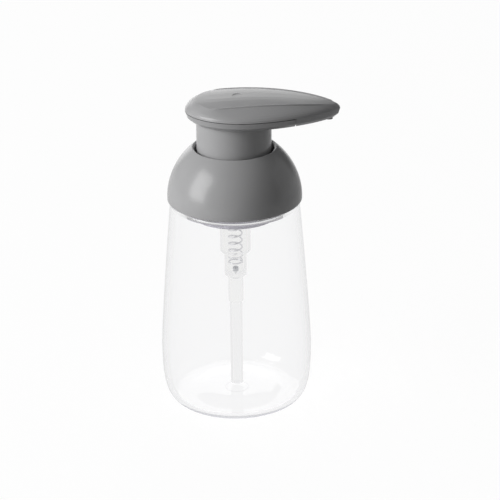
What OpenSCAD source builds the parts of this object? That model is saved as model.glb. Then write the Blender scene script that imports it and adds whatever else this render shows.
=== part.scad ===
// Soap pump dispenser: a clear bottle, a domed screw collar and a press-down
// teardrop head on a spring-returned piston pump. Millimetres, +Z up.
// The origin is the centre of the foot, on the surface the bottle stands on,
// and the spout points along +X.

/* [Bottle] */
// Widest diameter of the bottle
bottle_d = 78.2; // [60:0.1:100]
// Height of the widest place above the foot
bottle_belly_z = 30.7; // [22:0.1:40]
// Step from the collar's outer face in to the bottle's shoulder
shoulder_step = 1.1; // [0.5:0.1:2]
// Height of the flat shoulder
bottle_h = 109.5; // [95:0.5:130]
// Outer diameter of the ring the bottle stands on
foot_d = 57.8; // [50:0.1:60]
// Width of the ring the bottle stands on
foot_ring_w = 4.4; // [3:0.1:8]
// Height of the hollow under the floor
push_up = 1.4; // [0.8:0.1:3]
// Squareness of the lower corner, where 2 is an ellipse
corner_power = 3.2; // [2.4:0.1:4.5]
// Wall of the bottle
bottle_wall = 2.2; // [1.2:0.1:3.5]
// Thickness of the floor at its middle
floor_t = 2.4; // [1.6:0.1:5]
// Wall of the neck
neck_wall = 2.1; // [1.4:0.1:2.4]
// Height of the neck above the shoulder
neck_h = 15; // [13:0.1:16]

/* [Collar] */
// Distance from the threaded ring out to the collar's outer face
collar_room = 6; // [5:0.1:8]
// Height of the upright band at the collar's lower edge
collar_band_h = 2.1; // [1:0.1:5]
// Rise of the collar's curve above its band, up to the axis
collar_rise = 32.9; // [32:0.1:36]
// Roundness of the collar's curve across
collar_power_r = 2.13; // [1.9:0.01:2.4]
// Roundness of the collar's curve upward
collar_power_z = 1.86; // [1.7:0.01:2.1]
// Diameter of the opening that the sleeve runs in
opening_d = 40.2; // [36:0.1:44]
// Wall of the collar
collar_wall = 1.8; // [1.2:0.1:2.2]
// Radius of the rim's rounded inner edge
rim_round = 1.2; // [0.5:0.1:1.5]
// Width of the flat on the rim, outside its rounded edge
rim_flat = 0.1; // [0.1:0.1:1]
// Number of ribs inside the collar
collar_ribs = 8; // [4:1:16]
// Thickness of one rib inside the collar
rib_t = 1.2; // [0.8:0.1:2]
// Radial wall of the threaded ring inside the collar
ring_wall = 1.7; // [1.2:0.1:2]
// Thickness of the threaded ring's clamping lip
ring_lip_t = 1.3; // [0.8:0.1:2]

/* [Cup] */
// Outer diameter of the cup that hangs in the neck
cup_d = 45.6; // [42:0.1:50]
// Wall of the cup
cup_wall = 1.3; // [0.8:0.1:1.6]
// Thickness of the cup's floor
cup_floor_t = 1.6; // [1:0.1:2.5]
// Depth of the cup below its flange
cup_depth = 24; // [22:0.1:26]
// Thickness of the cup's flange
cup_flange_t = 1.5; // [1:0.1:2.5]
// Thickness of the gasket on the neck
neck_gasket_t = 1; // [0.5:0.1:2]
// Height of the snap wall on the cup's floor
snap_h = 3.9; // [3:0.1:6]
// Thickness of the snap wall
snap_wall = 1.2; // [0.8:0.1:2]

/* [Pump cylinder] */
// Outer diameter of the upper stage
cyl_d = 15.7; // [14:0.1:17]
// Wall of both stages
cyl_wall = 1.2; // [0.8:0.1:1.6]
// Length of the upper stage below the cup
cyl_drop = 19.9; // [19.5:0.1:24]
// Height of the sloping step between the stages
step_h = 2.1; // [1.5:0.1:3]
// Length of the lower stage below the step
stage_h = 12.1; // [11:0.1:16]
// Length of the socket that holds the dip tube
socket_h = 14.2; // [8:0.1:18]
// Wall of the socket
socket_wall = 0.6; // [0.5:0.1:1]
// Thickness of the flange on the cup's floor
cyl_flange_t = 1.5; // [1:0.1:2.5]
// Thickness of the gasket under the flange
cyl_gasket_t = 0.8; // [0.5:0.1:1.5]
// Number of ribs that guide the inlet ball
guide_ribs = 4; // [3:1:6]

/* [Valves] */
// Diameter of the inlet ball
inlet_ball_d = 4.5; // [4:0.1:5]
// Lift of the inlet ball
inlet_lift = 0.9; // [0.5:0.1:1.2]
// Diameter of the outlet ball
outlet_ball_d = 4; // [3.6:0.1:4.4]
// Lift of the outlet ball
outlet_lift = 0.9; // [0.5:0.1:1.2]
// Diameter of the hole under each ball
valve_hole_d = 2.8; // [2:0.1:3]

/* [Spring] */
// Outer diameter of the spring
spring_d = 7.8; // [7.4:0.1:8.2]
// Diameter of the spring's wire
wire_d = 0.8; // [0.5:0.05:0.9]
// Turns of the spring
spring_turns = 7.2; // [6:0.1:8]

/* [Dip tube] */
// Outer diameter of the dip tube
dip_d = 6.5; // [5:0.1:6.9]
// Wall of the dip tube
dip_wall = 0.9; // [0.6:0.1:1.2]
// Gap between the dip tube and the bottle's floor
dip_gap = 0.8; // [0.4:0.1:6]
// Height of the slanted cut at the dip tube's end
dip_cut = 2.5; // [1:0.1:6]

/* [Plunger] */
// Stroke of the head
stroke = 13.5; // [8:0.1:13.6]
// Outer diameter of the stem
stem_d = 7.9; // [7:0.1:8.2]
// Wall of the stem
stem_wall = 1.3; // [1:0.1:1.4]
// Height of the seat's plug inside the stem
seat_plug_h = 3; // [2:0.1:5]
// Height of the piston
piston_h = 4; // [3:0.1:5]
// Wall of the sleeve
sleeve_wall = 1.5; // [1:0.1:2]
// Length of the sleeve that hides inside the collar
sleeve_in = 17.8; // [16:0.1:18]
// Wall of the boss that grips the stem
boss_wall = 1.4; // [1:0.1:2]
// Diameter of the chaplet's guide tube
guide_d = 12.8; // [11:0.1:14]
// Height of the guide tube above the chaplet's plate
guide_h = 5.4; // [3:0.1:6]
// Thickness of the chaplet's plate
chaplet_t = 1.6; // [1:0.1:2.5]

/* [Head] */
// Reach of the head's tip from the pump's axis
tip_x = 53.3; // [46:0.1:60]
// Reach of the head's round end behind the axis
tail_x = 24.3; // [23:0.1:28]
// Widest half-width of the head
head_half_w = 24; // [23:0.1:27]
// Distance of the widest place in front of the axis
wide_x = 4; // [0:0.1:8]
// Gap between the head and the collar when pressed
pressed_gap = 1.6; // [1:0.1:4]
// Height of the lower shell, from its underside to the seam
base_h = 4.8; // [4:0.1:6]
// Height of the crown above the seam
crown_h = 7.3; // [6.5:0.1:10]
// Distance of the crown's highest place in front of the axis
crown_x = 8.5; // [4:0.1:14]
// Fall of the crown from its highest place to the tip, as a share of its height
tip_share = 0.74; // [0.6:0.01:0.8]
// Fall of the crown from its middle to the crease
crease_drop = 1.5; // [0.8:0.1:2]
// Widest half-width of the top face, inside its crease
crease_half_w = 15.8; // [14:0.1:18]
// Tuck of the lower shell's underside inside the outline
tuck = 3; // [2:0.1:4]
// Wall of both shells of the head
shell = 1.5; // [1:0.1:2]
// Place where the upper shell wraps down round the tip
wrap_x = 30.7; // [26:0.1:36]
// Width of the seam between the shells
seam = 0.4; // [0.2:0.05:0.6]
// Reach of the lower shell's end wall into the wrapped tip
tongue = 1.5; // [1:0.1:3]
// Diameter of the nozzle
nozzle_d = 4; // [3:0.1:4.4]
// Distance of the nozzle from the tip
nozzle_back = 5.8; // [5:0.1:8]
// Length of nozzle that shows below the head
nozzle_out = 1.1; // [0.5:0.1:3]
// Outer diameter of the spout channel
channel_d = 3.6; // [3.2:0.1:4]
// Wall of the spout channel
channel_wall = 0.8; // [0.6:0.1:1]
// Diameter of the plain dimple on the crown
dimple_d = 5; // [3:0.1:7]
// Depth of the dimple
dimple_depth = 0.3; // [0.1:0.05:0.5]
// Distance of the dimple in front of the axis
dimple_x = 2; // [-4:0.1:8]

/* [Fits] */
// Radial clearance of a piece pressed into another
press_gap = 0.03; // [0.01:0.01:0.06]
// Radial clearance of a running piece
run_gap = 0.06; // [0.03:0.01:0.1]
// Gap between pieces that only lie near each other
loose_gap = 0.3; // [0.2:0.05:0.5]
// Radial gap between the cup and the neck
cup_gap = 0.6; // [0.3:0.1:1.5]
// Radial room for the thread between the neck and its ring
thread_room = 1.1; // [0.8:0.1:1.5]
// Radial gap between the sleeve and the collar's opening
opening_gap = 1.2; // [0.8:0.1:2.5]
// Radial gap between the sleeve and the snap wall that it slides over
snap_gap = 1.5; // [0.6:0.1:2.5]
// Radial gap between the cylinder's flange and the snap wall
flange_gap = 0.5; // [0.2:0.1:1]
// Radial gap between the spring and the lower stage
spring_gap = 0.6; // [0.3:0.1:1]

/* [Hidden] */
$fn = 96;
far = 400;

// Neck, cup, threaded ring and collar, each sized from the one inside it
cup_r = cup_d / 2;
cup_in_r = cup_r - cup_wall;
neck_in_r = cup_r + cup_gap;
neck_r = neck_in_r + neck_wall;
ring_in_r = neck_r + thread_room;
ring_r = ring_in_r + ring_wall;
collar_r = ring_r + collar_room;

// Bottle
bottle_r = bottle_d / 2;
shoulder_r = collar_r - shoulder_step;
shoulder_round = 1.6;
foot_r = foot_d / 2;
foot_in_r = foot_r - foot_ring_w;
floor_break_r = foot_in_r * 0.6;
floor_dish = 0.28;
side_power = 1.15;
neck_top = bottle_h + neck_h;
floor_top = push_up + floor_t;

// Cup
cup_edge = 1;
cup_hole_gap = 0.15;
cup_flange_z = neck_top + neck_gasket_t;
cup_top = cup_flange_z + cup_flange_t;
cup_bottom = cup_flange_z - cup_depth;
cup_floor_top = cup_bottom + cup_floor_t;
cup_flange_r = ring_in_r - loose_gap;

// Collar
collar_edge = 0.7;
rim_lip = 0.6;
collar_bottom = bottle_h + loose_gap;
collar_spring_z = collar_bottom + collar_band_h;
opening_r = opening_d / 2;
rim_r = opening_r + rim_round + rim_flat;
collar_top = collar_point(collar_angle(rim_r, 0), 0)[1];
grip_up = 1.5;
ring_up = 1;
lip_gap = 0.2;
ring_bottom = collar_bottom + ring_up;
lip_bottom = cup_top + lip_gap;
ring_top = lip_bottom + ring_lip_t;
// The ring's outer edge bends inward where it would meet the collar's inner curve
ring_bend_z = min(ring_top, collar_point(collar_angle(ring_r + loose_gap, collar_wall), collar_wall)[1]);
ring_top_angle = asin(((ring_top - collar_spring_z) / (collar_rise - collar_wall)) ^ (collar_power_z / 2));
ring_top_r = min(ring_r, collar_point(ring_top_angle, collar_wall)[0] - loose_gap);

// Sleeve, snap wall and cylinder flange, each sized from the one outside it
sleeve_r = opening_r - opening_gap;
sleeve_in_r = sleeve_r - sleeve_wall;
snap_r = sleeve_in_r - snap_gap;
snap_in_r = snap_r - snap_wall;
cyl_flange_r = snap_in_r - flange_gap;

// Pump cylinder
cyl_r = cyl_d / 2;
bore_r = cyl_r - cyl_wall;
spring_r = spring_d / 2;
stage_bore_r = spring_r + spring_gap;
stage_r = stage_bore_r + cyl_wall;
stage_edge = 0.8;
step_top = cup_bottom - cyl_drop;
step_bottom = step_top - step_h;
stage_bottom = step_bottom - stage_h;
socket_bottom = stage_bottom - socket_h;
step_lift = 0.7;
cyl_flange_bottom = cup_floor_top + cyl_gasket_t;
cyl_top = cyl_flange_bottom + cyl_flange_t;
gasket_inset = 0.8;

// Valves: each ball rests on a 45 degree cone
valve_r = valve_hole_d / 2;
seat_t = 0.8;
inlet_seat = stage_bottom + seat_t;
inlet_r = inlet_ball_d / 2;
inlet_z = inlet_seat - valve_r + inlet_r * sqrt(2) + run_gap;
guide_rib_t = 0.8;
rib_gap = 0.2;
nub_h = 0.5;
guide_top = inlet_z + inlet_r + inlet_lift + nub_h + rib_gap;
outlet_r = outlet_ball_d / 2;

// Dip tube and its socket
dip_r = dip_d / 2;
dip_bottom = floor_top + dip_gap;
dip_slope = atan(dip_cut / dip_d);
socket_stop = 1;
socket_top = stage_bottom - socket_stop;
socket_bore_r = dip_r + press_gap;
socket_r = socket_bore_r + socket_wall;

// Plunger
plug_h = 2.5;
stop_gap = 0.1;
stop_t = 0.8;
piston_play = 0.2;
nipple_h = 1;
nipple_wall = 0.9;
foot_edge = 1.4;
spring_bottom = guide_top;
stem_r = stem_d / 2;
stem_in_r = stem_r - stem_wall;
stop_top = cyl_top - plug_h - stop_gap;
stop_bottom = stop_top - stop_t;
piston_top = stop_bottom - piston_play;
piston_bottom = piston_top - piston_h;
seat_top = piston_bottom - piston_play;
seat_bottom = seat_top - stop_t;
spring_top = seat_bottom;
nipple_r = spring_r - wire_d - rib_gap;
nipple_in_r = nipple_r - nipple_wall;
stop_r = bore_r - foot_edge;
boss_r = stem_r + press_gap + boss_wall;
guide_r = guide_d / 2;
guide_edge = 0.8;
guide_top_z = cyl_top + chaplet_t + guide_h;
guide_play = 1;
boss_bottom = guide_top_z + stroke + guide_play;

// Head
crown_fall_x = tip_share * crown_h / (tip_x - crown_x) ^ 2;
crown_fall_y = crease_drop / crease_half_w ^ 2;
head_bottom = collar_top + pressed_gap + stroke;
seam_z = head_bottom + base_h;
head_top = seam_z + crown_h;
sleeve_bottom = collar_top - sleeve_in;
stem_inset = 2.8;
stem_top = head_bottom - stem_inset;
outlet_seat = stem_top + valve_r - outlet_r * (1 + sqrt(2)) - outlet_lift - rib_gap;
outlet_z = outlet_seat - valve_r + outlet_r * sqrt(2) + run_gap;
outlet_seat_t = 1.5;
channel_r = channel_d / 2;
channel_in_r = channel_r - channel_wall;
nozzle_r = nozzle_d / 2;
tip_rise = 0.3;
nozzle_x = tip_x - nozzle_back;
nozzle_z = head_bottom + tip_rise - nozzle_out;
nozzle_wall = 0.7;
notch_r = channel_r + loose_gap;
channel_z = crown(nozzle_x, 0) - shell - loose_gap - channel_r;
cap_gap = 0.05;
cap_rim = 0.6;
ball_bar = 0.8;
gussets = 4;
gusset_h = 8;
gusset_t = 1.2;
base_floor = head_bottom + shell;
lip_step = 0.5;
lip_t = 0.7;
lip_h = 0.7;
lip_root = 0.2;
end_wall_t = 1.2;
groove = 0.5;
tongue_out = shell + loose_gap;
dimple_tilt = atan(2 * crown_fall_x * (crown_x - dimple_x));
tuck_share = 0.3;
tuck_height = 0.36;
plan_power = 1.7;
plan_round = 0.76;
crease_power = 1.8;
crease_round = 0.61;
side_lean = 0.45;
side_low = 0.4;
side_high = 0.66;
side_fade = 0.28;
fade_rear = 3;
fade_tip = 12;
crease_x = -8;
crease_soft = 0.04;
crease_front = 2.8;
crease_back = 6;
head_steps = 96;
tip_angle = 5;
tail_angle = 3;
spine_short = 0.1;
side_steps = 7;
top_steps = 4;

// Lower corner of the bottle between two radii and two heights
function corner(r0, r1, z0, z1, steps) = [for (i = [0:steps]) let (a = 90 * i / steps)
    [r0 + (r1 - r0) * sin(a) ^ (2 / corner_power), z0 + (z1 - z0) * (1 - cos(a) ^ (2 / corner_power))]];
// Side of the bottle from its belly up to z1, moved inward by t
function side(t, z1, steps) = [for (i = [1:steps]) let (s = i / steps)
    [bottle_r - t + (shoulder_r - bottle_r) * s ^ side_power, bottle_belly_z + (z1 - bottle_belly_z) * s]];
function arc(cx, cz, r, a0, a1, steps) = [for (i = [0:steps]) let (a = a0 + (a1 - a0) * i / steps)
    [cx + r * cos(a), cz + r * sin(a)]];

// Curve of the collar, moved inward by t, between two angles
function collar_angle(r, t) = acos(min(1, r / (collar_r - t)) ^ (collar_power_r / 2));
function collar_point(a, t) = [(collar_r - t) * cos(a) ^ (2 / collar_power_r),
                               collar_spring_z + (collar_rise - t) * sin(a) ^ (2 / collar_power_z)];
function collar_curve(a0, a1, t, steps) = [for (i = [0:steps]) collar_point(a0 + (a1 - a0) * i / steps, t)];

// Plan outline of the head, moved inward by an inset, as a point at angle a
function rear_width(a) = abs(sin(a));
function plan(a, inset) = let (s = abs(cos(a)), front = cos(a) >= 0,
    reach = (front ? tip_x - wide_x : tail_x + wide_x) - inset,
    w = (head_half_w - inset) * (front ? (1 - s ^ plan_power) ^ plan_round : rear_width(a)))
    [wide_x + reach * cos(a), a > 180 ? -w : w];

// Crease between the top face and the side of the head, as a point at angle a
function crease(a, inset) = let (s = abs(cos(a)), front = cos(a) >= 0,
    reach = (front ? tip_x - crease_front - crease_x : tail_x - crease_back + crease_x) - inset,
    w = (crease_half_w - inset / 2) * (front ? (1 - s ^ crease_power) ^ crease_round : rear_width(a)))
    [crease_x + reach * cos(a), a > 180 ? -w : w];

function crown(x, y) = head_top - crown_fall_x * (x - crown_x) ^ 2 - crown_fall_y * y ^ 2;
function underside(x) = head_bottom + tip_rise * max(0, (x - wide_x) / (tip_x - wide_x));
function bezier(p0, p1, p2, p3, t) =
    p0 * (1 - t) ^ 3 + 3 * p1 * t * (1 - t) ^ 2 + 3 * p2 * t ^ 2 * (1 - t) + p3 * t ^ 3;

// Closed rings round the head, moved inward by d. The angles start clear of 0 and stop
// clear of 180, so that each point faces its mirror point across the head.
HALF = [for (i = [0:head_steps / 2 - 1])
        tip_angle + (180 - tip_angle - tail_angle) * i / (head_steps / 2 - 1)];
ANGLES = concat(HALF, [for (i = [head_steps / 2 - 1:-1:0]) 360 - HALF[i]]);
function low_ring(d, up) = [for (a = ANGLES) let (p = plan(a, tuck + d)) [p[0], p[1], underside(p[0]) + up]];
function tuck_ring(d) = [for (a = ANGLES) let (p = plan(a, tuck * tuck_share + d))
    [p[0], p[1], underside(p[0]) + base_h * tuck_height + d / 2]];
function plan_ring(d, z) = [for (a = ANGLES) let (p = plan(a, d)) [p[0], p[1], z]];
// Side face: s runs from 0 at the seam to 1 at the crease, which fades out at both ends
function side_ring(d, s) = [for (a = ANGLES)
    let (p = plan(a, d), c = crease(a, d), top = crown(c[0], c[1]) - d,
         fade = max(-cos(a), 0) ^ fade_rear + max(cos(a), 0) ^ fade_tip,
         out = bezier(1, 1, side_lean, 0, s),
         up = bezier(0, side_low, side_high + side_fade * fade, 1, s))
    [c[0] + (p[0] - c[0]) * out, c[1] + (p[1] - c[1]) * out, seam_z + (top - seam_z) * up]];
// Top face: s runs from 0 at the crease to 1 at the spine
function top_ring(d, s) = [for (a = ANGLES)
    let (c = crease(a, d), x = crease_x + (c[0] - crease_x) * (1 - spine_short * s), y = c[1] * (1 - s))
    [x, y, crown(x, y) - d]];
// Two rings close beside the crease keep its edge narrow
function head_rings(d) = [low_ring(d, d), tuck_ring(d), plan_ring(d, seam_z),
    for (k = [1:side_steps - 1]) side_ring(d, k / side_steps),
    side_ring(d, 1 - crease_soft), side_ring(d, 1), top_ring(d, crease_soft),
    for (k = [1:top_steps - 1]) top_ring(d, k / top_steps)];

// A closed solid through a stack of rings, capped by strips that join mirror points
module loft(rings) {
    n = len(rings[0]);
    m = len(rings);
    sides = [for (k = [0:m - 2], i = [0:n - 1]) let (a = k * n + i, b = k * n + (i + 1) % n)
             each [[a, a + n, b], [b, a + n, b + n]]];
    under = [for (i = [0:n / 2 - 2]) each [[i, n - 2 - i, n - 1 - i], [i, i + 1, n - 2 - i]]];
    t = (m - 1) * n;
    over = [for (i = [0:n / 2 - 2])
            each [[t + i, t + n - 1 - i, t + n - 2 - i], [t + i, t + n - 2 - i, t + i + 1]]];
    polyhedron(points = [for (r = rings) each r], faces = concat(sides, under, over), convexity = 6);
}

// A round wire along a list of points, capped at both ends
module wire(path, r, sides) {
    n = len(path);
    points = [for (i = [0:n - 1])
        let (a = path[max(i - 1, 0)], b = path[min(i + 1, n - 1)], t = (b - a) / norm(b - a),
             u0 = cross([0, 0, 1], t), u = u0 / norm(u0), v = cross(t, u))
        each [for (k = [0:sides - 1]) let (q = 360 * k / sides) path[i] + r * (cos(q) * u + sin(q) * v)]];
    skin = [for (i = [0:n - 2], k = [0:sides - 1])
            let (a = i * sides + k, b = i * sides + (k + 1) % sides)
            each [[a, a + sides, b], [b, a + sides, b + sides]]];
    start = [for (k = [0:sides - 1]) k];
    end = [for (k = [sides - 1:-1:0]) (n - 1) * sides + k];
    polyhedron(points = points, faces = concat(skin, [start, end]), convexity = 10);
}

module tube(r_out, r_in, z0, z1) {
    translate([0, 0, z0]) difference() {
        cylinder(r = r_out, h = z1 - z0);
        translate([0, 0, -1]) cylinder(r = r_in, h = z1 - z0 + 2);
    }
}

module bottle() {
    side_top = bottle_h - shoulder_round;
    outer = concat(
        [[0, push_up], [floor_break_r, push_up - floor_dish], [foot_in_r, 0]],
        corner(foot_r, bottle_r, 0, bottle_belly_z, 12),
        side(0, side_top, 8),
        arc(shoulder_r - shoulder_round, side_top, shoulder_round, 15, 90, 4),
        [[neck_r, bottle_h], [neck_r, neck_top], [0, neck_top]]);
    inner = concat(
        [[0, floor_top], [floor_break_r, floor_top - floor_dish], [foot_in_r, floor_t]],
        corner(foot_r, bottle_r - bottle_wall, floor_t, bottle_belly_z, 12),
        side(bottle_wall, side_top, 8),
        arc(shoulder_r - shoulder_round - bottle_wall, side_top - bottle_wall, shoulder_round, 30, 90, 3),
        [[neck_in_r, bottle_h - bottle_wall], [neck_in_r, neck_top + 1], [0, neck_top + 1]]);
    color("aliceblue", 0.35) difference() {
        rotate_extrude() polygon(outer);
        rotate_extrude() polygon(inner);
    }
}

module dip_tube() {
    color("whitesmoke", 0.6) difference() {
        tube(dip_r, dip_r - dip_wall, dip_bottom, socket_top);
        // slanted cut, so that the tube can't seal itself against the floor
        translate([0, 0, dip_bottom]) rotate([0, -dip_slope, 0])
            translate([-far / 2, -far / 2, -far]) cube([far, far, far]);
    }
}

module pump_cylinder() {
    outer = [[socket_bore_r, socket_bottom], [socket_r, socket_bottom], [socket_r, stage_bottom],
             [stage_r - stage_edge, stage_bottom], [stage_r, stage_bottom + stage_edge],
             [stage_r, step_bottom], [cyl_r, step_top], [cyl_r, cyl_flange_bottom],
             [cyl_flange_r, cyl_flange_bottom], [cyl_flange_r, cyl_top], [bore_r, cyl_top]];
    cone_top = inlet_seat + stage_bore_r - valve_r;
    bore = [[bore_r, step_top + step_lift], [stage_bore_r, step_bottom + step_lift],
            [stage_bore_r, cone_top], [valve_r, inlet_seat],
            [valve_r, socket_top], [socket_bore_r, socket_top]];
    color("whitesmoke", 0.5) {
        rotate_extrude() polygon(concat(outer, bore));
        // ribs that guide the inlet ball and carry the spring, with nubs that keep the ball in
        intersection() {
            for (i = [0:guide_ribs - 1]) rotate([0, 0, 360 * (i + 0.5) / guide_ribs])
                translate([0, -guide_rib_t / 2, inlet_seat]) {
                    translate([inlet_r + rib_gap, 0, 0])
                        cube([stage_bore_r, guide_rib_t, guide_top - inlet_seat]);
                    translate([inlet_r - nub_h, 0, guide_top - nub_h - inlet_seat])
                        cube([2 * nub_h, guide_rib_t, nub_h]);
                }
            // the ribs start in the cone and end in the bore's wall
            rotate_extrude() polygon([[0, inlet_seat - valve_r - rib_gap],
                [stage_bore_r + rib_gap, cone_top], [stage_bore_r + rib_gap, guide_top], [0, guide_top]]);
        }
    }
}

module inlet_ball() {
    color("silver") translate([0, 0, inlet_z]) sphere(r = inlet_r);
}

module spring() {
    coil_r = spring_r - wire_d / 2;
    steps = 16;
    n = ceil(spring_turns * steps);
    closed = 0.9;
    end_gap = wire_d / 2 + cap_gap;
    z0 = spring_bottom + end_gap;
    z1 = spring_top - end_gap;
    // closed turns at both ends rise by one wire, and the open turns share the rest
    open_rise = (z1 - z0 - 2 * wire_d * closed) / (spring_turns - 2 * closed);
    function height(t) = t < closed ? z0 + wire_d * t
        : t > spring_turns - closed ? z1 - wire_d * (spring_turns - t)
        : z0 + wire_d * closed + open_rise * (t - closed);
    path = [for (i = [0:n]) let (t = spring_turns * i / n)
            [coil_r * cos(360 * t), coil_r * sin(360 * t), height(t)]];
    color("silver") wire(path, wire_d / 2, 8);
}

module cylinder_gasket() {
    color("white") tube(cyl_flange_r - gasket_inset, cyl_r + loose_gap, cup_floor_top, cyl_flange_bottom);
}

module inner_cup() {
    hole_r = cyl_r + cup_hole_gap;
    wall = [[hole_r, cup_bottom], [cup_r - cup_edge, cup_bottom], [cup_r, cup_bottom + cup_edge],
            [cup_r, cup_flange_z], [cup_flange_r, cup_flange_z], [cup_flange_r, cup_top],
            [cup_in_r, cup_top], [cup_in_r, cup_floor_top], [snap_r, cup_floor_top],
            [snap_r, cup_floor_top + snap_h], [snap_in_r, cup_floor_top + snap_h],
            [snap_in_r, cup_floor_top], [hole_r, cup_floor_top]];
    color("lavender", 0.8) rotate_extrude() polygon(wall);
}

module neck_gasket() {
    color("white") tube(neck_r, neck_in_r, neck_top, cup_flange_z);
}

module chaplet() {
    bore = stem_r + run_gap;
    plug_r = bore_r - press_gap;
    plate_r = snap_in_r - press_gap;
    plate_top = cyl_top + chaplet_t;
    profile = [[bore, cyl_top - plug_h], [plug_r, cyl_top - plug_h], [plug_r, cyl_top],
               [plate_r, cyl_top], [plate_r, plate_top], [guide_r + guide_edge, plate_top],
               [guide_r, plate_top + guide_edge], [guide_r, guide_top_z - guide_edge],
               [guide_r - guide_edge, guide_top_z], [bore, guide_top_z]];
    color("white") rotate_extrude() polygon(profile);
}

module threaded_ring() {
    lip_in_r = opening_r + loose_gap;
    profile = [[ring_in_r, ring_bottom], [ring_r, ring_bottom], [ring_r, ring_bend_z],
               [ring_top_r, ring_top], [lip_in_r, ring_top], [lip_in_r, lip_bottom],
               [ring_in_r, lip_bottom]];
    color("gainsboro") rotate_extrude() polygon(profile);
}

module dome_collar() {
    lip_r = rim_r + rim_lip;
    outer = concat([[collar_r - collar_wall, collar_bottom], [collar_r - collar_edge, collar_bottom],
                    [collar_r, collar_bottom + collar_edge]],
                   collar_curve(0, collar_angle(rim_r, 0), 0, 20),
                   arc(opening_r + rim_round, collar_top - rim_round, rim_round, 90, 180, 6));
    inner = concat([[opening_r, ring_top], [lip_r, ring_top]],
                   collar_curve(collar_angle(lip_r, collar_wall), 0, collar_wall, 16));
    grip_r = ring_r + press_gap;
    grip_angle = collar_angle(grip_r, collar_wall / 2);
    color("dimgray") {
        rotate_extrude() polygon(concat(outer, inner));
        // ribs that grip the threaded ring
        intersection() {
            for (i = [0:collar_ribs - 1]) rotate([0, 0, 360 * (i + 0.5) / collar_ribs])
                translate([0, -rib_t / 2, 0]) cube([collar_r, rib_t, collar_top]);
            rotate_extrude() polygon(concat(
                [[grip_r, collar_bottom + grip_up], [collar_r - collar_wall / 2, collar_bottom + grip_up]],
                collar_curve(0, grip_angle, collar_wall / 2, 10)));
        }
    }
}

// Two lips that seal in the bore, above and below a narrower waist
module piston() {
    lip_r = bore_r - run_gap;
    lip_t = 0.7;
    lip_h = 0.9;
    lip_slope = 0.5;
    dish = 0.4;
    waist_r = lip_r - lip_t;
    hole_r = stem_r + run_gap;
    lower = [[hole_r, piston_bottom + dish], [waist_r, piston_bottom], [lip_r, piston_bottom],
             [lip_r, piston_bottom + lip_h], [waist_r, piston_bottom + lip_h + lip_slope]];
    upper = [for (i = [len(lower) - 1:-1:0]) [lower[i][0], piston_top + piston_bottom - lower[i][1]]];
    color("white") rotate_extrude() polygon(concat(lower, upper));
}

// Seat under the piston, with the plug that holds it in the stem and the nipple that centres the spring
module piston_seat() {
    plug_r = stem_in_r - press_gap;
    profile = [[nipple_in_r, seat_bottom - nipple_h], [nipple_r, seat_bottom - nipple_h],
               [nipple_r, seat_bottom], [stop_r, seat_bottom], [stop_r, seat_top], [plug_r, seat_top],
               [plug_r, seat_top + seat_plug_h], [nipple_in_r, seat_top + seat_plug_h]];
    color("white") rotate_extrude() polygon(profile);
}

module stem() {
    outer = [[stem_in_r, seat_top], [stem_r, seat_top], [stem_r, stop_bottom], [stop_r, stop_bottom],
             [stop_r, stop_top], [stem_r, stop_top], [stem_r, stem_top], [stem_in_r, stem_top]];
    cone_h = stem_in_r - valve_r;
    bore = [[stem_in_r, outlet_seat + cone_h], [valve_r, outlet_seat],
            [valve_r, outlet_seat - outlet_seat_t], [stem_in_r, outlet_seat - outlet_seat_t - cone_h]];
    color("white") rotate_extrude() polygon(concat(outer, bore));
}

module outlet_ball() {
    color("silver") translate([0, 0, outlet_z]) sphere(r = outlet_r);
}

// Spout channel: a cap on the stem, a tube to the tip and the nozzle that points down
module spout_channel() {
    floor_z = base_floor + cap_gap;
    cap_bottom = stem_top + cap_gap;
    color("gainsboro") {
        difference() {
            union() {
                translate([0, 0, cap_bottom]) cylinder(r = stem_r, h = floor_z - cap_bottom);
                translate([0, 0, floor_z])
                    cylinder(r = boss_r + cap_rim, h = channel_z + channel_r - floor_z);
                translate([0, 0, channel_z]) rotate([0, 90, 0]) cylinder(r = channel_r, h = nozzle_x);
                translate([nozzle_x, 0, channel_z]) sphere(r = channel_r);
                translate([nozzle_x, 0, nozzle_z]) cylinder(r = nozzle_r, h = channel_z - nozzle_z);
            }
            translate([0, 0, stem_top]) cylinder(r = stem_in_r, h = channel_z + channel_in_r - stem_top);
            translate([0, 0, channel_z]) rotate([0, 90, 0]) cylinder(r = channel_in_r, h = nozzle_x);
            translate([nozzle_x, 0, channel_z]) sphere(r = channel_in_r);
            translate([nozzle_x, 0, nozzle_z - 1])
                cylinder(r = nozzle_r - nozzle_wall, h = channel_z - nozzle_z + 1);
        }
        // bar that keeps the outlet ball in the stem
        translate([-stem_in_r - rib_gap, -ball_bar / 2, cap_bottom])
            cube([2 * (stem_in_r + rib_gap), ball_bar, ball_bar]);
    }
}

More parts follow.
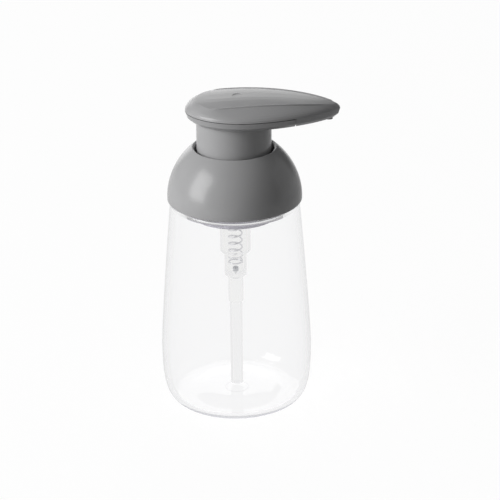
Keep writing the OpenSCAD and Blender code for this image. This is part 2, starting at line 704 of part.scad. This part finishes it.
// Lower shell of the head with the sleeve and the boss that grips the stem
module head_base() {
    lip_out = shell + lip_step;
    lip_in = lip_out + lip_t;
    color("gray") difference() {
        union() {
            difference() {
                union() {
                    difference() {
                        union() {
                            loft([low_ring(0, 0), tuck_ring(0), plan_ring(0, seam_z - seam)]);
                            loft([plan_ring(lip_out, base_floor - lip_root),
                                  plan_ring(lip_out, seam_z + lip_h)]);
                        }
                        translate([wrap_x - seam, -far / 2, 0]) cube([far, far, far]);
                    }
                    // behind the seam's groove it butts against the wrapped tip
                    difference() {
                        loft([low_ring(groove, groove), tuck_ring(groove), plan_ring(groove, seam_z - seam)]);
                        translate([wrap_x - press_gap, -far / 2, 0]) cube([far, far, far]);
                    }
                    // its front end reaches into the wrapped tip
                    loft([low_ring(tongue_out, tongue_out), tuck_ring(tongue_out),
                          plan_ring(lip_out, seam_z + lip_h)]);
                }
                difference() {
                    loft([low_ring(lip_in, shell), tuck_ring(lip_in), plan_ring(lip_in, seam_z + base_h)]);
                    translate([wrap_x - seam - end_wall_t, -far / 2, 0]) cube([far, far, far]);
                }
                translate([wrap_x + tongue, -far / 2, 0]) cube([far, far, far]);
                // notch in the end wall that the spout channel lies in
                translate([0, 0, channel_z]) rotate([0, 90, 0]) cylinder(r = notch_r, h = tip_x);
                translate([0, -notch_r, channel_z]) cube([tip_x, 2 * notch_r, base_h]);
            }
            translate([0, 0, sleeve_bottom]) cylinder(r = sleeve_r, h = base_floor - sleeve_bottom);
        }
        difference() {
            translate([0, 0, sleeve_bottom - 1])
                cylinder(r = sleeve_in_r, h = head_bottom - sleeve_bottom + 1);
            translate([0, 0, boss_bottom]) cylinder(r = boss_r, h = head_bottom - boss_bottom);
            for (i = [0:gussets - 1]) rotate([0, 0, 360 * (i + 0.5) / gussets])
                translate([0, -gusset_t / 2, head_bottom - gusset_h]) cube([sleeve_r, gusset_t, gusset_h]);
        }
        translate([0, 0, boss_bottom - 1]) cylinder(r = stem_r + press_gap, h = base_floor - boss_bottom + 2);
    }
}

// Upper shell of the head, which wraps down round the tip and holds the nozzle
module head_cover() {
    color("gray") difference() {
        loft(head_rings(0));
        loft(head_rings(shell));
        translate([wrap_x - far, -far / 2, seam_z - far]) cube([far, far, far]);
        translate([nozzle_x, 0, nozzle_z - 1]) cylinder(r = nozzle_r + loose_gap, h = base_h);
        // a plain shallow dimple, square to the crown
        translate([dimple_x, 0, crown(dimple_x, 0)]) rotate([0, -dimple_tilt, 0])
            translate([0, 0, -dimple_depth]) cylinder(r = dimple_d / 2, h = shell);
    }
}

bottle();
dip_tube();
pump_cylinder();
inlet_ball();
spring();
cylinder_gasket();
inner_cup();
neck_gasket();
chaplet();
threaded_ring();
dome_collar();
piston();
piston_seat();
stem();
outlet_ball();
spout_channel();
head_base();
head_cover();
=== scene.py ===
import math

import bmesh
import bpy
from mathutils import Matrix, Vector


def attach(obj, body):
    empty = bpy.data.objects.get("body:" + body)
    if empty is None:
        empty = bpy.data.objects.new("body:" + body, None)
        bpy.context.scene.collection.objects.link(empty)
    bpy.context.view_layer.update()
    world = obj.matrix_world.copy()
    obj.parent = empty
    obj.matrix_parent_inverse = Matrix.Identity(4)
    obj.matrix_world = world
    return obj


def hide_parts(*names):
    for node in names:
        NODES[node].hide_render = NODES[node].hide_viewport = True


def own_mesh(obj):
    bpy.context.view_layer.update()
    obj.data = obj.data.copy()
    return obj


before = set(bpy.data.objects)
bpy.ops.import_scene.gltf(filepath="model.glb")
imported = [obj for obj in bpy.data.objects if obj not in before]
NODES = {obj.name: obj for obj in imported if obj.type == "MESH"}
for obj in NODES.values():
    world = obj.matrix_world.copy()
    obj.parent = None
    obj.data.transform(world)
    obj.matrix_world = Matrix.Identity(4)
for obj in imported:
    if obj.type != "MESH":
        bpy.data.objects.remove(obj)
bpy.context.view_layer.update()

# Places and sizes are metres, angles are radians.
CAMERA_TARGET = Vector((0.0075, 0.0, 0.0809))
CAMERA_DISTANCE = 0.927
CAMERA_ELEVATION = math.radians(22.95)
CAMERA_ROLL = math.radians(-0.55)
CAMERA_LENS, CAMERA_SENSOR = 129.6, 36.0

# A ray deeper than this is caught inside a clear wall and ends in a painted glow at the wall's pale level.
CAUGHT_DEPTH = 4.5

# Turned pieces: a bend sharper than CORNER stays a corner, and a gentler one is split at FINE_BEND.
CORNER = math.radians(28)
FINE_BEND = math.radians(3)
TURN_STEPS = 180
ON_SEAM = 1e-6
MERGE = 1e-7

GATE_R, GATE_BEAD, GATE_SIDES = 0.006, 0.00025, 12

# The thread starts THREAD_BELOW_TOP under the neck's top.
# Its ends run out over 1 / THREAD_RUN_OUT of its length.
THREAD_PITCH, THREAD_TURNS, THREAD_BELOW_TOP = 0.003, 1.5, 0.0075
THREAD_H, THREAD_W, THREAD_SINK = 0.0005, 0.0014, 0.0001
THREAD_STEPS, THREAD_RUN_OUT = 60, 12

# The crease is where two upward faces meet at a bend between these angles, in the cover's upper part.
CREASE_R, CREASE_PROUD, CREASE_SHARE, CREASE_FROM_X = 0.0006, 0.0003, 0.45, -0.012
CREASE_BEND = (math.radians(9), math.radians(60))
CREASE_SIDE_UP, CREASE_TOP_UP, CREASE_OFF_MIDDLE = 0.2, 0.9, 0.001
CREASE_END, CREASE_FADE = 0.3, 6

# Levels of white: the world's faint light, and what shows through clear plastic, where a painted shade dims
# the world and floor a little.
AMBIENT, WORLD_THROUGH, FLOOR_THROUGH_DIM = 0.1, 0.95, 0.06
FLOOR_HALF, FLOOR_DROP, FLOOR_PAINT, FLOOR_SHARE = 4.0, 0.0002, 0.4, 0.955
BESIDE_SLOPE, BESIDE_EDGE, BESIDE_LEVEL = 2.6, 0.15, 0.35


# ---------------------------------------------------------------- camera

def add_camera():
    """The camera looks at the axis from the front, above, with a small roll."""
    data = bpy.data.cameras.new("camera")
    data.lens, data.sensor_width = CAMERA_LENS, CAMERA_SENSOR
    camera = bpy.data.objects.new("camera", data)
    bpy.context.scene.collection.objects.link(camera)
    back = Vector((0.0, -math.cos(CAMERA_ELEVATION), math.sin(CAMERA_ELEVATION)))
    place = Matrix.Translation(CAMERA_TARGET + back * CAMERA_DISTANCE)
    turn = (-back).to_track_quat("-Z", "Y").to_matrix().to_4x4()
    camera.matrix_world = place @ turn @ Matrix.Rotation(CAMERA_ROLL, 4, "Z")
    bpy.context.scene.camera = camera


# ---------------------------------------------------------------- materials

def feed(tree, value, socket):
    """Links another socket to this one, or sets a plain value on it."""
    if isinstance(value, bpy.types.NodeSocket):
        tree.links.new(value, socket)
    else:
        socket.default_value = value


def maths(tree, operation, *values):
    """A Math node of sockets and plain values."""
    node = tree.nodes.new("ShaderNodeMath")
    node.operation = operation
    for value, socket in zip(values, node.inputs):
        feed(tree, value, socket)
    return node.outputs[0]


def mix_shaders(tree, share, first, second):
    """The first surface at share 0 and the second at share 1."""
    node = tree.nodes.new("ShaderNodeMixShader")
    for value, socket in zip((share, first, second), node.inputs):
        feed(tree, value, socket)
    return node.outputs[0]


class Shader:
    """A node material with a Principled surface and short ways to drive it."""

    def __init__(self, name, color, roughness, **sockets):
        self.material = bpy.data.materials.new(name)
        self.material.use_nodes = True
        self.tree = self.material.node_tree
        self.tree.nodes.clear()
        self.out = self.tree.nodes.new("ShaderNodeOutputMaterial")
        self.surface = self.tree.nodes.new("ShaderNodeBsdfPrincipled")
        self.tree.links.new(self.surface.outputs[0], self.out.inputs["Surface"])
        self.place = self.tree.nodes.new("ShaderNodeTexCoord").outputs["Object"]
        self.surface.inputs["Base Color"].default_value = (*color, 1.0)
        self.surface.inputs["Roughness"].default_value = roughness
        for socket, value in sockets.items():
            self.surface.inputs[socket.replace("_", " ")].default_value = value

    def noise(self, size, detail=3.0, stretch=(1.0, 1.0, 1.0)):
        """Noise with features of that size in metres."""
        mapping = self.tree.nodes.new("ShaderNodeMapping")
        mapping.inputs["Scale"].default_value = [s / size for s in stretch]
        self.tree.links.new(self.place, mapping.inputs["Vector"])
        node = self.tree.nodes.new("ShaderNodeTexNoise")
        node.inputs["Scale"].default_value = 1.0
        node.inputs["Detail"].default_value = detail
        self.tree.links.new(mapping.outputs["Vector"], node.inputs["Vector"])
        return node.outputs["Fac"]

    def spread(self, value, low, high):
        """That value's middle half, spread between low and high."""
        node = self.tree.nodes.new("ShaderNodeMapRange")
        node.inputs["From Min"].default_value = 0.25
        node.inputs["From Max"].default_value = 0.75
        node.inputs["To Min"].default_value = low
        node.inputs["To Max"].default_value = high
        self.tree.links.new(value, node.inputs["Value"])
        return node.outputs["Result"]

    def rough(self, value, low, high):
        self.tree.links.new(self.spread(value, low, high), self.surface.inputs["Roughness"])

    def tone(self, value, dark, light):
        """The base colour moves between two colours with value."""
        node = self.tree.nodes.new("ShaderNodeMix")
        node.data_type = "RGBA"
        node.inputs["A"].default_value = (*dark, 1.0)
        node.inputs["B"].default_value = (*light, 1.0)
        self.tree.links.new(self.spread(value, 0.0, 1.0), node.inputs["Factor"])
        self.tree.links.new(node.outputs["Result"], self.surface.inputs["Base Color"])

    def absorb(self, color, density):
        """The inside swallows a little light, so that long ways through it look darker."""
        node = self.tree.nodes.new("ShaderNodeVolumeAbsorption")
        node.inputs["Color"].default_value = (*color, 1.0)
        node.inputs["Density"].default_value = density
        self.tree.links.new(node.outputs[0], self.out.inputs["Volume"])

    def pass_light(self, tint, pale):
        """Lamps shine through, dimmed by tint, and a ray caught in the walls ends in a painted glow at the
        pale level, in place of the light it would bring.
        """
        path = self.tree.nodes.new("ShaderNodeLightPath").outputs
        clear = self.tree.nodes.new("ShaderNodeBsdfTransparent")
        clear.inputs["Color"].default_value = (tint, tint, tint, 1.0)
        glow = self.tree.nodes.new("ShaderNodeEmission")
        glow.inputs["Strength"].default_value = pale
        # painted glow: a ray caught in the wall shows the pale level instead of going dark
        caught = maths(self.tree, "GREATER_THAN", path["Ray Depth"], CAUGHT_DEPTH)
        inside = mix_shaders(self.tree, caught, self.surface.outputs[0], glow.outputs[0])
        lit = mix_shaders(self.tree, path["Is Shadow Ray"], inside, clear.outputs[0])
        self.tree.links.new(lit, self.out.inputs["Surface"])

    def bump(self, value, depth, strength=1.0):
        node = self.tree.nodes.new("ShaderNodeBump")
        node.inputs["Distance"].default_value = depth
        node.inputs["Strength"].default_value = strength
        self.tree.links.new(value, node.inputs["Height"])
        self.tree.links.new(node.outputs["Normal"], self.surface.inputs["Normal"])


def clear_plastic():
    """The bottle's glassy plastic."""
    s = Shader("clear_plastic", (1.0, 1.0, 1.0), 0.03, Transmission_Weight=1.0, IOR=1.28)
    s.rough(s.noise(0.03), 0.02, 0.04)
    s.absorb((0.9, 0.9, 0.915), 60.0)
    s.pass_light(0.95, 0.88)
    return s.material


def natural_plastic(name, color, roughness, transmission, density, pale):
    """Undyed plastic, from nearly clear to milky. Density is for absorb, and pale, the level of the painted
    glow, is for pass_light.
    """
    s = Shader(name, color, roughness, Transmission_Weight=transmission, IOR=1.08, Specular_IOR_Level=0.3)
    s.rough(s.noise(0.004), roughness * 0.8, roughness * 1.2)
    s.bump(s.noise(0.003), 0.00002, 0.2)
    s.absorb((0.9, 0.9, 0.91), density)
    s.pass_light(0.9, pale)
    return s.material


def moulded_plastic(name, dark, light, roughness, ior):
    """Dyed plastic with a faint mottle between two colours and a fine skin."""
    s = Shader(name, dark, roughness, IOR=ior)
    s.tone(s.noise(0.02), dark, light)
    s.rough(s.noise(0.012), roughness * 0.88, roughness * 1.12)
    s.bump(s.noise(0.0009, 2.0), 0.00002, 0.25)
    return s.material


def steel(name, color, roughness):
    """Bright metal with a fine grain along Z."""
    s = Shader(name, color, roughness, Metallic=1.0)
    s.rough(s.noise(0.001, 4.0, (1.0, 1.0, 6.0)), roughness * 0.7, roughness * 1.4)
    s.bump(s.noise(0.0005, 4.0, (1.0, 1.0, 6.0)), 0.00001, 0.4)
    return s.material


def rubber():
    """The gaskets' soft pale seal."""
    s = Shader("soft_seal", (0.78, 0.78, 0.79), 0.6)
    s.tone(s.noise(0.003), (0.74, 0.74, 0.75), (0.82, 0.82, 0.83))
    s.bump(s.noise(0.0006), 0.00003, 0.5)
    return s.material


def dress_nodes():
    """Gives each CAD node its material."""
    grey = moulded_plastic("grey_gloss", (0.4, 0.4, 0.405), (0.425, 0.425, 0.43), 0.23, 1.37)
    channel = moulded_plastic("grey_channel", (0.33, 0.33, 0.335), (0.36, 0.36, 0.365), 0.35, 1.45)
    white = moulded_plastic("white_plastic", (0.8, 0.8, 0.81), (0.84, 0.84, 0.85), 0.35, 1.45)
    ball = steel("ball_steel", (0.55, 0.56, 0.58), 0.12)
    wire = steel("spring_steel", (0.72, 0.72, 0.74), 0.25)
    seal = rubber()
    looks = {
        "bottle": clear_plastic(),
        "dip_tube": natural_plastic("natural_tube", (0.99, 0.99, 0.99), 0.1, 1.0, 40.0, 0.9),
        "pump_cylinder": natural_plastic("natural_housing", (0.99, 0.99, 0.985), 0.1, 1.0, 50.0, 0.88),
        "inner_cup": natural_plastic("natural_cup", (0.4, 0.39, 0.43), 0.35, 0.05, 40.0, 0.3),
        "inlet_ball": ball, "outlet_ball": ball, "spring": wire,
        "cylinder_gasket": seal, "neck_gasket": seal,
        "chaplet": white, "threaded_ring": white, "piston": white, "stem": white, "piston_seat": white,
        "spout_channel": channel,
        "dome_collar": grey, "head_base": grey, "head_cover": grey,
    }
    for name, material in looks.items():
        mesh = NODES[name].data
        mesh.materials.clear()
        mesh.materials.append(material)


# ---------------------------------------------------------------- turned pieces

def seam_section(name):
    """The section of a turned CAD node as (radius, height) points, followed along the edges of its seam."""
    node = NODES[name]
    places = [node.matrix_world @ vertex.co for vertex in node.data.vertices]
    on_seam = [abs(p.y) < ON_SEAM and p.x > -ON_SEAM for p in places]
    keys = [(round(p.x, 6), round(p.z, 6)) for p in places]
    near = {}
    for edge in node.data.edges:
        a, b = edge.vertices
        if on_seam[a] and on_seam[b] and keys[a] != keys[b]:
            near.setdefault(keys[a], []).append(keys[b])
            near.setdefault(keys[b], []).append(keys[a])
    ends = [key for key in near if len(set(near[key])) == 1]
    here = min(ends or near, key=lambda key: (key[1], key[0]))
    chain, seen = [here], {here}
    while True:
        onward = [key for key in near[here] if key not in seen]
        if not onward:
            break
        here = onward[0]
        chain.append(here)
        seen.add(here)
    return [Vector(key) for key in chain], not ends


def finer(chain, closed):
    """The same section with more points where it bends gently. Corners and straights stay."""
    count = len(chain)
    spans = count if closed else count - 1
    side = [chain[(i + 1) % count] - chain[i] for i in range(spans)]

    def tangent(i):
        """The section's direction before and after point i, which differ at a corner."""
        if not closed and i in (0, count - 1):
            way = side[0 if i == 0 else -1].normalized()
            return way, way
        before, after = side[i - 1], side[i % spans]
        if before.angle(after) > CORNER:
            return before.normalized(), after.normalized()
        both = (before + after).normalized()
        return both, both

    points = []
    for i in range(spans):
        start, end, step = chain[i], chain[(i + 1) % count], side[i].length
        leave, arrive = tangent(i)[1] * step, tangent((i + 1) % count)[0] * step
        parts = 1 + int(leave.angle(arrive) / FINE_BEND)
        for k in range(parts):
            t = k / parts
            points.append(start * (2 * t**3 - 3 * t**2 + 1) + leave * (t**3 - 2 * t**2 + t)
                          + end * (3 * t**2 - 2 * t**3) + arrive * (t**3 - t**2))
    return points if closed else points + [chain[-1]]


def new_piece(piece_name, shape, like, body):
    """A piece from a bmesh, in the material of a CAD node, riding on a body."""
    for face in shape.faces:
        face.smooth = True
    for edge in shape.edges:
        edge.smooth = edge.calc_face_angle(0.0) < CORNER
    mesh = bpy.data.meshes.new(piece_name)
    shape.to_mesh(mesh)
    shape.free()
    mesh.materials.append(NODES[like].data.materials[0])
    piece = bpy.data.objects.new(piece_name, mesh)
    bpy.context.scene.collection.objects.link(piece)
    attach(piece, body)
    return piece


def turned(points, closed):
    """A bmesh turned about the bottle's axis from (radius, height) points."""
    shape = bmesh.new()
    verts = [shape.verts.new((p[0], 0.0, p[1])) for p in points]
    edges = [shape.edges.new(pair) for pair in zip(verts, verts[1:])]
    if closed:
        edges.append(shape.edges.new((verts[-1], verts[0])))
    bmesh.ops.spin(shape, geom=verts + edges, cent=(0, 0, 0), axis=(0, 0, 1), angle=2 * math.pi,
                   steps=TURN_STEPS, use_merge=True)
    bmesh.ops.remove_doubles(shape, verts=shape.verts, dist=MERGE)
    bmesh.ops.recalc_face_normals(shape, faces=shape.faces)
    return shape


def fine_turning(name, piece_name, body):
    """A turned piece that stands for a CAD node of the same section, fine enough for see-through plastic."""
    points, closed = seam_section(name)
    foot = min(point.y for point in points)
    # a bend that runs into the flat foot must not swing below it
    fine = [Vector((point.x, max(point.y, foot))) for point in finer(points, closed)]
    piece = new_piece(piece_name, turned(fine, closed), name, body)
    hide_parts(name)


def pressed_spring():
    """The spring as a copied piece of its own, riding on the pump body."""
    piece = bpy.data.objects.new("spring_coil", NODES["spring"].data.copy())
    bpy.context.scene.collection.objects.link(piece)
    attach(piece, "pump")
    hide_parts("spring")
    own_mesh(piece)


def gate_ring():
    """The small moulded ring on the underside of the bottle's floor, round its gate."""
    low = min(point.y for point in seam_section("bottle")[0] if point.x < GATE_R)
    arc = [2 * math.pi * k / GATE_SIDES for k in range(GATE_SIDES)]
    points = [(GATE_R + GATE_BEAD * math.cos(a), low + GATE_BEAD * math.sin(a)) for a in arc]
    new_piece("bottle_gate_ring", turned(points, True), "bottle", "bottle")


def thread_ridge(piece_name, like, body, radius, outward, start):
    """A helical ridge on the wall at that radius, outward 1 or inward -1, which runs out at both ends."""
    count = int(THREAD_TURNS * THREAD_STEPS)
    shape = bmesh.new()
    rows = []
    for i in range(count + 1):
        t = i / count
        angle = 2 * math.pi * THREAD_TURNS * t
        middle = start + THREAD_PITCH * THREAD_TURNS * t
        tall = THREAD_H * min(1.0, THREAD_RUN_OUT * min(t, 1 - t))
        section = [(-THREAD_SINK, -0.5), (tall, -0.25), (tall, 0.25), (-THREAD_SINK, 0.5)]
        row = []
        for rise, across in section:
            r = radius + outward * rise
            place = (r * math.cos(angle), r * math.sin(angle), middle + across * THREAD_W)
            row.append(shape.verts.new(place))
        rows.append(row)
    for row, nxt in zip(rows, rows[1:]):
        for k in range(4):
            shape.faces.new((row[k], row[k - 1], nxt[k - 1], nxt[k]))
    shape.faces.new(rows[0])
    shape.faces.new(rows[-1])
    bmesh.ops.recalc_face_normals(shape, faces=shape.faces)
    new_piece(piece_name, shape, like, body)


def add_threads():
    """The thread of the neck and, half a pitch lower, that of the ring which screws on it."""
    neck = max(seam_section("bottle")[0], key=lambda p: (p.y, p.x))
    ring = seam_section("threaded_ring")[0]
    ring_foot = min(ring, key=lambda p: (p.y, p.x))
    start = neck.y - THREAD_BELOW_TOP
    thread_ridge("neck_thread", "bottle", "bottle", neck.x, 1, start)
    thread_ridge("ring_thread", "threaded_ring", "collar", ring_foot.x, -1,
                 start - THREAD_PITCH / 2)


def crease_roll():
    """The fine roll that the mould leaves along the crease on each side of the head's top."""
    shape = bmesh.new()
    shape.from_mesh(NODES["head_cover"].data)
    bmesh.ops.remove_doubles(shape, verts=shape.verts, dist=MERGE)
    heights = [vert.co.z for vert in shape.verts]
    lowest = min(heights) + CREASE_SHARE * (max(heights) - min(heights))
    creased = []
    for edge in shape.edges:
        ups = [face.normal.z for face in edge.link_faces]
        bend = edge.calc_face_angle(0.0)
        bent = CREASE_BEND[0] < bend < CREASE_BEND[1]
        if bent and min(ups) > CREASE_SIDE_UP and max(ups) > CREASE_TOP_UP:
            for vert in edge.verts:
                if vert.co.z > lowest and vert.co.x > CREASE_FROM_X and vert not in creased:
                    creased.append(vert)
    for side, label in ((-1, "near"), (1, "far")):
        line = [vert for vert in creased if side * vert.co.y > CREASE_OFF_MIDDLE]
        line.sort(key=lambda vert: side * math.atan2(vert.co.y, vert.co.x))
        data = bpy.data.curves.new("head_crease_" + label, "CURVE")
        data.dimensions = "3D"
        data.bevel_depth = CREASE_R
        data.bevel_resolution = 3
        data.use_fill_caps = True
        spline = data.splines.new("POLY")
        spline.points.add(len(line) - 1)
        for k, (point, vert) in enumerate(zip(spline.points, line)):
            place = vert.co - vert.normal * (CREASE_R - CREASE_PROUD)
            point.co = (*place, 1.0)
            fade = min(k, len(line) - 1 - k) / CREASE_FADE
            point.radius = min(1.0, CREASE_END + (1 - CREASE_END) * fade)
        data.materials.append(NODES["head_cover"].data.materials[0])
        piece = bpy.data.objects.new("head_crease_" + label, data)
        bpy.context.scene.collection.objects.link(piece)
        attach(piece, "head")
    shape.free()


# ---------------------------------------------------------------- stage and light

def add_world():
    """Faint light all round. The camera sees it as plain white, and through the clear plastic as a white
    dimmed a little by painted shade.
    """
    world = bpy.data.worlds.new("studio")
    bpy.context.scene.world = world
    world.use_nodes = True
    tree = world.node_tree
    tree.nodes.clear()
    out = tree.nodes.new("ShaderNodeOutputWorld")
    ambient = tree.nodes.new("ShaderNodeBackground")
    ambient.inputs["Color"].default_value = (1.0, 1.0, 1.0, 1.0)
    ambient.inputs["Strength"].default_value = AMBIENT
    white = tree.nodes.new("ShaderNodeBackground")
    white.inputs["Color"].default_value = (1.0, 1.0, 1.0, 1.0)
    white.inputs["Strength"].default_value = 1.0
    path = tree.nodes.new("ShaderNodeLightPath").outputs
    # painted shade: rays through clear plastic see a slightly dimmed white
    through = maths(tree, "MINIMUM", path["Transmission Depth"], WORLD_THROUGH)
    either = maths(tree, "MAXIMUM", path["Is Camera Ray"], through)
    tree.links.new(mix_shaders(tree, either, ambient.outputs[0], white.outputs[0]), out.inputs["Surface"])


def add_floor():
    """A pale floor that takes a soft shadow and shows as white from above, and isn't there from below."""
    half = FLOOR_HALF
    mesh = bpy.data.meshes.new("floor")
    corners = [(-half, -half, 0.0), (half, -half, 0.0), (half, half, 0.0), (-half, half, 0.0)]
    mesh.from_pydata(corners, [], [(0, 1, 2, 3)])
    floor = bpy.data.objects.new("floor", mesh)
    floor.location.z = -FLOOR_DROP
    bpy.context.scene.collection.objects.link(floor)
    mesh.materials.append(floor_material())


def floor_material():
    """Paint that takes the lamps' light, under a white glow for the rays that should see a white floor."""
    material = bpy.data.materials.new("floor")
    material.use_nodes = True
    tree = material.node_tree
    tree.nodes.clear()
    new, link = tree.nodes.new, tree.links.new
    out = new("ShaderNodeOutputMaterial")
    path = new("ShaderNodeLightPath").outputs
    through = maths(tree, "MINIMUM", path["Transmission Depth"], 1.0)
    either = maths(tree, "MAXIMUM", path["Is Camera Ray"], through)
    # mirrored rays see white behind the object and a greyer floor beside it
    spot = new("ShaderNodeSeparateXYZ")
    link(new("ShaderNodeTexCoord").outputs["Object"], spot.inputs[0])
    off_axis = maths(tree, "ABSOLUTE", spot.outputs["X"])
    behind = maths(tree, "MULTIPLY_ADD", off_axis, -BESIDE_SLOPE, spot.outputs["Y"])
    ramp = new("ShaderNodeMapRange")
    ramp.interpolation_type = "SMOOTHSTEP"
    ends = {"From Min": -BESIDE_EDGE, "From Max": BESIDE_EDGE, "To Min": BESIDE_LEVEL, "To Max": 1.0}
    for name, value in ends.items():
        ramp.inputs[name].default_value = value
    link(behind, ramp.inputs["Value"])
    mirrored = maths(tree, "MULTIPLY", path["Is Glossy Ray"], ramp.outputs["Result"])
    seen = maths(tree, "MAXIMUM", either, mirrored)
    # a mid grey bounces little light up, and the rays that see the floor see it as white
    shade = new("ShaderNodeMix")
    shade.data_type = "RGBA"
    shade.inputs["A"].default_value = (FLOOR_PAINT, FLOOR_PAINT, FLOOR_PAINT, 1.0)
    shade.inputs["B"].default_value = (1.0, 1.0, 1.0, 1.0)
    link(seen, shade.inputs["Factor"])
    paint = new("ShaderNodeBsdfDiffuse")
    link(shade.outputs["Result"], paint.inputs["Color"])
    glow = new("ShaderNodeEmission")
    # painted shade: the floor seen through clear plastic glows a little dimmer
    link(maths(tree, "MULTIPLY_ADD", through, -FLOOR_THROUGH_DIM, 1.0), glow.inputs["Strength"])
    share = maths(tree, "MULTIPLY", seen, FLOOR_SHARE)
    above = mix_shaders(tree, share, paint.outputs[0], glow.outputs[0])
    below = new("ShaderNodeBsdfTransparent").outputs[0]
    backfacing = new("ShaderNodeNewGeometry").outputs["Backfacing"]
    link(mix_shaders(tree, backfacing, above, below), out.inputs["Surface"])
    return material


def add_lamp(name, place, size, power, aim=(0.0, 0.0, 0.12)):
    """A rectangular lamp of that size and power in watts, turned to aim. The camera doesn't see it."""
    data = bpy.data.lights.new(name, "AREA")
    data.shape = "RECTANGLE"
    data.size, data.size_y = size
    data.energy = power
    lamp = bpy.data.objects.new(name, data)
    bpy.context.scene.collection.objects.link(lamp)
    lamp.location = place
    lamp.rotation_mode = "QUATERNION"
    lamp.rotation_quaternion = (Vector(aim) - Vector(place)).to_track_quat("-Z", "Y")
    lamp.visible_camera = False


def light_studio():
    add_world()
    add_floor()
    add_lamp("key", (-1.17, -0.48, 0.66), (0.75, 1.05), 19.0)
    add_lamp("backdrop", (-0.33, 1.5, 0.48), (1.2, 0.96), 4.2, (-0.33, 0.0, 0.48))
    add_lamp("hair", (0.0, 1.05, 1.4), (0.8, 0.17), 3.4)
    add_lamp("fill", (1.3, 0.45, 0.35), (1.2, 1.2), 2.0)


bpy.context.scene.view_settings.view_transform = "Standard"
add_camera()
dress_nodes()
fine_turning("bottle", "bottle_wall", "bottle")
fine_turning("dip_tube", "dip_tube_wall", "pump")
pressed_spring()
gate_ring()
add_threads()
crease_roll()
light_studio()
